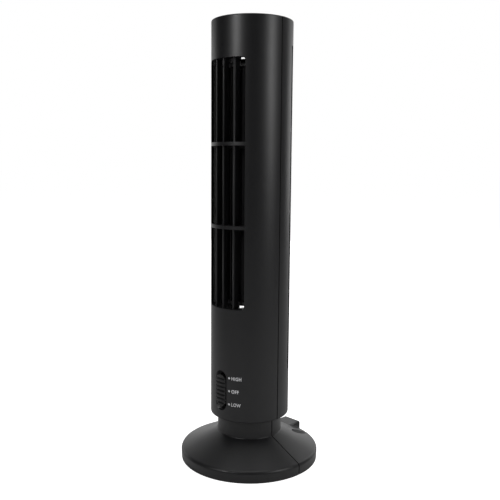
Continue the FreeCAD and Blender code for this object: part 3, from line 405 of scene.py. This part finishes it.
def smooth_skin(name, turned=False):
    """A merged copy of a moulded piece that is shaded smooth except at its real corners."""
    mesh = nodes[name].data.copy()
    mesh.name = name + "_skin"
    work = bmesh.new()
    work.from_mesh(mesh)
    bmesh.ops.remove_doubles(work, verts=work.verts, dist=MERGE_REACH)
    bmesh.ops.dissolve_degenerate(work, edges=work.edges, dist=SLIVER_LENGTH)
    work.to_mesh(mesh)
    work.free()
    mesh.shade_smooth()
    mesh.set_sharp_from_angle(angle=SHARP_ANGLE)
    if turned:
        true_normals(mesh)
    skin = bpy.data.objects.new(name + "_skin", mesh)
    scene.collection.objects.link(skin)
    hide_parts(name)
    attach(skin, BODY_OF[name])


for name in ("front_shell", "rear_shell", "switch_knob", "impeller_end_disc", "bottom_cover",
             "rubber_feet", "motor_can", "tower_screws", "base_screws", "cover_screws"):
    smooth_skin(name, turned=name in ("front_shell", "rear_shell"))

# ---------------------------------------------------------------- impeller mouldings

BLADE_SEGMENTS = 8
# a blade's thickness at both edges, as a part of its thickness in the middle
BLADE_EDGE = 0.55
RING_SEGMENTS = 96
HUB_SEGMENTS = 48
CROWN_SHARP_ANGLE = math.radians(35)


def feed(tree, made, values):
    """Give a node's inputs, in order, numbers or output sockets; gives its first output."""
    for place, value in enumerate(values):
        if isinstance(value, (int, float)):
            made.inputs[place].default_value = value
        else:
            tree.links.new(value, made.inputs[place])
    return made.outputs[0]


def calc(tree, operation, *values):
    """Math node; its values are numbers or output sockets."""
    return feed(tree, add(tree, "ShaderNodeMath", operation=operation), values)


def triple(tree, x, y, z):
    """Vector from three numbers or output sockets."""
    return feed(tree, add(tree, "ShaderNodeCombineXYZ"), (x, y, z))


def bent_blade(tree, size):
    """One blade: a thin block bent along a line that leans and bows as it leaves the axis."""
    block = add(tree, "GeometryNodeMeshCube", Size=(1, 1, 1), Vertices_X=BLADE_SEGMENTS + 1)
    here = add(tree, "ShaderNodeSeparateXYZ")
    join(tree, add(tree, "GeometryNodeInputPosition"), 0, here, 0)
    way_out = calc(tree, "ADD", here.outputs[0], 0.5)
    bow = calc(tree, "SINE", calc(tree, "MULTIPLY", way_out, math.pi))
    turn = calc(tree, "MULTIPLY_ADD", size["Bow"], bow, calc(tree, "MULTIPLY", size["Lean"], way_out))
    reach = calc(tree, "SUBTRACT", size["Blade outer radius"], size["Blade inner radius"])
    radius = calc(tree, "MULTIPLY_ADD", way_out, reach, size["Blade inner radius"])
    taper = calc(tree, "MULTIPLY_ADD", bow, 1 - BLADE_EDGE, BLADE_EDGE)
    body = calc(tree, "MULTIPLY", size["Blade thickness"], taper)
    aside = calc(tree, "MULTIPLY", here.outputs[1], body)
    across, along = calc(tree, "COSINE", turn), calc(tree, "SINE", turn)
    x = calc(tree, "SUBTRACT", calc(tree, "MULTIPLY", radius, across),
             calc(tree, "MULTIPLY", aside, along))
    y = calc(tree, "ADD", calc(tree, "MULTIPLY", radius, along),
             calc(tree, "MULTIPLY", aside, across))
    lift = calc(tree, "ADD", here.outputs[2], 0.5)
    z = calc(tree, "MULTIPLY_ADD", lift, size["Blade height"], size["Blade foot"])
    shaped = add(tree, "GeometryNodeSetPosition")
    join(tree, block, 0, shaped, "Geometry")
    tree.links.new(triple(tree, x, y, z), shaped.inputs["Position"])
    return shaped


def flat_ring(tree, size):
    """The ring, or the closed disc, that carries the feet of the blades."""
    both = calc(tree, "ADD", size["Ring outer radius"], size["Ring inner radius"])
    middle = calc(tree, "MULTIPLY", 0.5, both)
    width = calc(tree, "SUBTRACT", size["Ring outer radius"], size["Ring inner radius"])
    path = add(tree, "GeometryNodeCurvePrimitiveCircle", Resolution=RING_SEGMENTS)
    tree.links.new(middle, path.inputs["Radius"])
    section = add(tree, "GeometryNodeCurvePrimitiveQuadrilateral")
    tree.links.new(width, section.inputs["Width"])
    tree.links.new(size["Ring thickness"], section.inputs["Height"])
    swept = add(tree, "GeometryNodeCurveToMesh")
    join(tree, path, 0, swept, "Curve")
    join(tree, section, 0, swept, "Profile Curve")
    joined = add(tree, "GeometryNodeMergeByDistance", Distance=0.01 * MM)
    join(tree, swept, 0, joined, "Geometry")
    placed = add(tree, "GeometryNodeTransform")
    join(tree, joined, 0, placed, "Geometry")
    height = calc(tree, "MULTIPLY_ADD", size["Ring thickness"], 0.5, size["Ring foot"])
    tree.links.new(triple(tree, 0, 0, height), placed.inputs["Translation"])
    return placed


def make_crown_tree():
    """Node tree for one third of the impeller: a crown of bent blades standing on a ring."""
    tree = bpy.data.node_groups.new("blade_crown", "GeometryNodeTree")
    socket(tree, "Blades", "NodeSocketInt", "INPUT", 20)
    for name in ("Blade inner radius", "Blade outer radius", "Blade thickness", "Lean", "Bow",
                 "Blade foot", "Blade height", "Ring inner radius", "Ring outer radius",
                 "Ring foot", "Ring thickness", "Hub radius", "Hub foot", "Hub height"):
        socket(tree, name, "NodeSocketFloat", "INPUT", 0.0)
    socket(tree, "Finish", "NodeSocketMaterial", "INPUT")
    socket(tree, "Mesh", "NodeSocketGeometry", "OUTPUT")
    start, end = add(tree, "NodeGroupInput"), add(tree, "NodeGroupOutput")
    size = start.outputs
    posts = add(tree, "GeometryNodeMeshLine")
    posts.inputs["Offset"].default_value = (0, 0, 0)
    join(tree, start, "Blades", posts, "Count")
    step = calc(tree, "DIVIDE", 2 * math.pi, size["Blades"])
    number = add(tree, "GeometryNodeInputIndex").outputs[0]
    turn = add(tree, "FunctionNodeEulerToRotation")
    tree.links.new(triple(tree, 0, 0, calc(tree, "MULTIPLY", number, step)), turn.inputs[0])
    crown = add(tree, "GeometryNodeInstanceOnPoints")
    join(tree, posts, 0, crown, "Points")
    join(tree, bent_blade(tree, size), 0, crown, "Instance")
    join(tree, turn, 0, crown, "Rotation")
    hub = add(tree, "GeometryNodeMeshCylinder", Vertices=HUB_SEGMENTS)
    join(tree, start, "Hub radius", hub, "Radius")
    join(tree, start, "Hub height", hub, "Depth")
    raised = add(tree, "GeometryNodeTransform")
    join(tree, hub, 0, raised, "Geometry")
    middle = calc(tree, "MULTIPLY_ADD", size["Hub height"], 0.5, size["Hub foot"])
    tree.links.new(triple(tree, 0, 0, middle), raised.inputs["Translation"])
    pick = add(tree, "GeometryNodeSwitch", input_type="GEOMETRY")
    tree.links.new(calc(tree, "GREATER_THAN", size["Hub radius"], 0.0), pick.inputs["Switch"])
    join(tree, raised, 0, pick, "True")
    whole = add(tree, "GeometryNodeJoinGeometry")
    for piece in (crown, flat_ring(tree, size), pick):
        join(tree, piece, 0, whole, 0)
    real = add(tree, "GeometryNodeRealizeInstances")
    join(tree, whole, 0, real, 0)
    coat = add(tree, "GeometryNodeSetMaterial")
    join(tree, real, 0, coat, "Geometry")
    join(tree, start, "Finish", coat, "Material")
    join(tree, coat, 0, end, "Mesh")
    return tree


def grown_piece(name, tree, sizes):
    """Plain mesh object made by a node tree with the given named sizes."""
    holder = bpy.data.objects.new(name, bpy.data.meshes.new(name))
    scene.collection.objects.link(holder)
    maker = holder.modifiers.new("maker", "NODES")
    maker.node_group = tree
    for item in tree.interface.items_tree:
        if item.item_type == "SOCKET" and item.in_out == "INPUT" and item.name in sizes:
            maker[item.identifier] = sizes[item.name]
    bpy.context.view_layer.update()
    ready = holder.evaluated_get(bpy.context.evaluated_depsgraph_get())
    mesh = bpy.data.meshes.new_from_object(ready)
    holder.modifiers.remove(maker)
    holder.data = mesh
    mesh.shade_smooth()
    mesh.set_sharp_from_angle(angle=CROWN_SHARP_ANGLE)
    return holder


IMPELLER_FOOT, SECTION_RISE = 122.7 * MM, 57.8 * MM
CROWN_TREE = make_crown_tree()
for level, name in enumerate(("impeller_lower", "impeller_middle", "impeller_upper")):
    foot = IMPELLER_FOOT + level * SECTION_RISE
    crown = grown_piece(name + "_crown", CROWN_TREE, {
        "Blades": 20, "Blade inner radius": 15.2 * MM, "Blade outer radius": 20.2 * MM,
        "Blade thickness": 0.9 * MM, "Lean": math.radians(16), "Bow": math.radians(5),
        "Blade foot": foot + 0.4 * MM, "Blade height": SECTION_RISE - 0.4 * MM,
        "Ring inner radius": (14.0 if level else 0.0) * MM, "Ring outer radius": 20.4 * MM,
        "Ring foot": foot, "Ring thickness": (1.6 if level else 2.6) * MM,
        "Hub radius": (0.0 if level else 4.2) * MM, "Hub foot": foot + 2.4 * MM, "Hub height": 7.5 * MM,
        "Finish": FINISH["impeller_black"]})
    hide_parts(name)
    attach(crown, "impeller")

# ---------------------------------------------------------------- printed switch marks

# where the words and the dots stand round the tower from the front, and each word with its
# height in millimetres and the angle where it ends
MARK_START = math.radians(19.4)
DOT_TURN = math.radians(15.5)
MARKS = (("HIGH", 69.5, 34.2), ("OFF", 59.6, 30.5), ("LOW", 49.5, 33.4))
INK_RADIUS = 30.13 * MM
DOT_RADIUS = 0.8 * MM
DOT_STEPS = 24
STROKE_TRIM = 0.02
LETTER_SPACE = 1.1
LETTER_STEPS = 6
LETTER_CUTS = 2
CAP_HEIGHT = 2.7 * MM


def round_tower(turn, height):
    """Point on the printed skin."""
    return Vector((INK_RADIUS * math.sin(turn), -INK_RADIUS * math.cos(turn), height))


def mark_mesh(word, height, end_turn):
    """Flat letters wrapped round the tower, filled between their start and end."""
    curve = bpy.data.curves.new("mark", "FONT")
    curve.body = word
    curve.size = 1.0
    curve.resolution_u = LETTER_STEPS
    curve.offset = STROKE_TRIM
    curve.space_character = LETTER_SPACE
    letters = bpy.data.objects.new("mark", curve)
    scene.collection.objects.link(letters)
    bpy.context.view_layer.update()
    ready = letters.evaluated_get(bpy.context.evaluated_depsgraph_get())
    flat = bpy.data.meshes.new_from_object(ready)
    bpy.data.objects.remove(letters)
    work = bmesh.new()
    work.from_mesh(flat)
    bmesh.ops.triangulate(work, faces=work.faces)
    bmesh.ops.subdivide_edges(work, edges=work.edges, cuts=LETTER_CUTS, use_grid_fill=True)
    low_x = min(v.co.x for v in work.verts)
    high_x = max(v.co.x for v in work.verts)
    low_y = min(v.co.y for v in work.verts)
    high_y = max(v.co.y for v in work.verts)
    span = math.radians(end_turn) - MARK_START
    for v in work.verts:
        turn = MARK_START + span * (v.co.x - low_x) / (high_x - low_x)
        lift = ((v.co.y - low_y) / (high_y - low_y) - 0.5) * CAP_HEIGHT
        v.co = round_tower(turn, height * MM + lift)
    return work


def add_marks():
    """The three words with their dots, as one thin piece on the front shell."""
    whole = bmesh.new()
    holder = bpy.data.meshes.new("switch_marks")
    for word, height, end_turn in MARKS:
        part = mark_mesh(word, height, end_turn)
        part.to_mesh(holder)
        whole.from_mesh(holder)
        part.free()
        middle = whole.verts.new(round_tower(DOT_TURN, height * MM))
        edge = []
        for step in range(DOT_STEPS):
            turn = 2 * math.pi * step / DOT_STEPS
            sideways = DOT_RADIUS * math.cos(turn) / INK_RADIUS
            lift = DOT_RADIUS * math.sin(turn)
            edge.append(whole.verts.new(round_tower(DOT_TURN + sideways, height * MM + lift)))
        for step in range(DOT_STEPS):
            whole.faces.new((middle, edge[step], edge[(step + 1) % DOT_STEPS]))
    bmesh.ops.recalc_face_normals(whole, faces=whole.faces)
    for face in whole.faces:
        outward = face.calc_center_median()
        outward.z = 0
        if face.normal.dot(outward) < 0:
            face.normal_flip()
    whole.to_mesh(holder)
    whole.free()
    holder.materials.append(INK)
    marks = bpy.data.objects.new("switch_marks", holder)
    scene.collection.objects.link(marks)
    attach(marks, "housing")


add_marks()

# ---------------------------------------------------------------- studio

scene.view_settings.view_transform = "Standard"

# how far round from the tower's front the camera stands, then its lens and its place
FRONT_VIEW = math.radians(45.8)
CAMERA_OUT, CAMERA_UP = 511.84 * MM, 226.34 * MM
CAMERA_PITCH = math.radians(7.16)
CAMERA_YAW = math.radians(-0.056)
CAMERA_ROLL = math.radians(0.4536)
LENS, SENSOR = 48.79, 36.0
NEAREST, FARTHEST = 0.01, 60.0
FLOOR_RADIUS, FLOOR_SEGMENTS = 14.0, 96
FLOOR_SHADE = (0.9, 0.9, 0.9, 1)
WHITE = (1, 1, 1, 1)


def spun(x, y, z):
    """Point given as seen from the camera side, turned into the part's frame."""
    across, along = math.cos(FRONT_VIEW), math.sin(FRONT_VIEW)
    return Vector((x * across - y * along, x * along + y * across, z))


def make_floor():
    """Pale floor that reads white and lights the tower only with what the lamps throw on it."""
    mesh = bpy.data.meshes.new("floor")
    work = bmesh.new()
    bmesh.ops.create_circle(work, cap_ends=True, radius=FLOOR_RADIUS, segments=FLOOR_SEGMENTS)
    work.to_mesh(mesh)
    work.free()
    floor = bpy.data.objects.new("floor", mesh)
    scene.collection.objects.link(floor)
    paper = bpy.data.materials.new("pale_floor")
    paper.use_nodes = True
    skin = paper.node_tree.nodes["Principled BSDF"]
    skin.inputs["Base Color"].default_value = FLOOR_SHADE
    skin.inputs["Roughness"].default_value = 0.9
    skin.inputs["Specular IOR Level"].default_value = 0.0
    skin.inputs["Emission Color"].default_value = WHITE
    ray = add(paper.node_tree, "ShaderNodeLightPath")
    join(paper.node_tree, ray, "Is Camera Ray", skin, "Emission Strength")
    mesh.materials.append(paper)


# name, degrees round from the camera, then in metres: out from the axis, up, height aimed at,
# width and height of the lamp; then its watts
LAMPS = (
    ("overhead", 0, 0.04, 1.38, 0.18, 0.8, 0.8, 4.0),
    ("left_strip_top", -44, 0.6, 0.56, 0.51, 0.10, 0.16, 0.47),
    ("left_strip", -44, 0.6, 0.42, 0.37, 0.10, 0.16, 0.73),
    ("right_strip_top", 60, 0.6, 0.56, 0.51, 0.10, 0.16, 0.46),
    ("right_strip", 52, 0.6, 0.42, 0.37, 0.10, 0.16, 0.43),
    ("right_strip_low", 52, 0.6, 0.30, 0.25, 0.10, 0.16, 0.24),
    ("right_strip_side", 60, 0.6, 0.30, 0.25, 0.10, 0.16, 0.19),
    ("right_rear_high", 130, 1.27, 0.97, 0.18, 0.5, 0.55, 2.2),
    ("right_rear_low", 130, 1.49, 0.34, 0.18, 0.5, 0.55, 1.45),
    ("rear_right", 150, 1.49, 0.34, 0.18, 0.5, 0.55, 1.25),
    ("rear_inner_right", 170, 1.49, 0.34, 0.18, 0.5, 0.55, 1.6),
    ("rear_inner_left", -170, 1.49, 0.34, 0.18, 0.5, 0.55, 1.8),
    ("rear_left", -150, 1.49, 0.34, 0.18, 0.5, 0.55, 0.8),
    ("rear_left_high", -150, 1.27, 0.97, 0.18, 0.5, 0.55, 0.62),
    ("left_rear_low", -130, 1.49, 0.34, 0.18, 0.5, 0.55, 1.2),
    ("rear_close", 180, 0.9, 1.10, 0.05, 0.4, 0.3, 1.1),
    ("rear_top", 180, 0.61, 1.33, 0.18, 0.8, 0.5, 1.05),
)


def soft_light(name, around, out, up, aim_height, width, height, watts):
    """Area light that faces a point on the tower's axis."""
    around = math.radians(around)
    aim = Vector((0, 0, aim_height))
    where = spun(out * math.sin(around), -out * math.cos(around), up)
    lamp = bpy.data.lights.new(name, "AREA")
    lamp.shape = "RECTANGLE"
    lamp.size = width
    lamp.size_y = height
    lamp.energy = watts
    holder = bpy.data.objects.new(name, lamp)
    scene.collection.objects.link(holder)
    holder.location = where
    holder.rotation_mode = "QUATERNION"
    holder.rotation_quaternion = (aim - where).to_track_quat("-Z", "Y")


def make_world():
    """White backdrop that throws no light of its own."""
    world = bpy.data.worlds.new("studio")
    scene.world = world
    world.use_nodes = True
    tree = fresh_tree(world.node_tree)
    out = add(tree, "ShaderNodeOutputWorld")
    seen = add(tree, "ShaderNodeBackground", Strength=1.0)
    seen.inputs["Color"].default_value = WHITE
    unlit = add(tree, "ShaderNodeBackground", Strength=0.0)
    ray = add(tree, "ShaderNodeLightPath")
    mix = add(tree, "ShaderNodeMixShader")
    join(tree, ray, "Is Camera Ray", mix, 0)
    join(tree, unlit, 0, mix, 1)
    join(tree, seen, 0, mix, 2)
    join(tree, mix, 0, out, "Surface")


def make_camera():
    """Camera that stands a little above the tower's middle and looks slightly down."""
    level = math.cos(CAMERA_PITCH)
    ahead = Vector((math.sin(CAMERA_YAW) * level, math.cos(CAMERA_YAW) * level,
                    -math.sin(CAMERA_PITCH)))
    right = Vector((math.cos(CAMERA_YAW), -math.sin(CAMERA_YAW), 0))
    up = right.cross(ahead)
    side = math.cos(CAMERA_ROLL) * right + math.sin(CAMERA_ROLL) * up
    top = -math.sin(CAMERA_ROLL) * right + math.cos(CAMERA_ROLL) * up
    turn = Matrix.Rotation(FRONT_VIEW, 4, "Z")
    rows = Matrix((side, top, -ahead)).transposed().to_4x4()
    lens = bpy.data.cameras.new("camera")
    lens.sensor_width = SENSOR
    lens.lens = LENS
    lens.clip_start = NEAREST
    lens.clip_end = FARTHEST
    camera = bpy.data.objects.new("camera", lens)
    scene.collection.objects.link(camera)
    camera.matrix_world = turn @ Matrix.Translation(Vector((0, -CAMERA_OUT, CAMERA_UP))) @ rows
    scene.camera = camera


make_floor()
make_world()
make_camera()
for lamp in LAMPS:
    soft_light(*lamp)
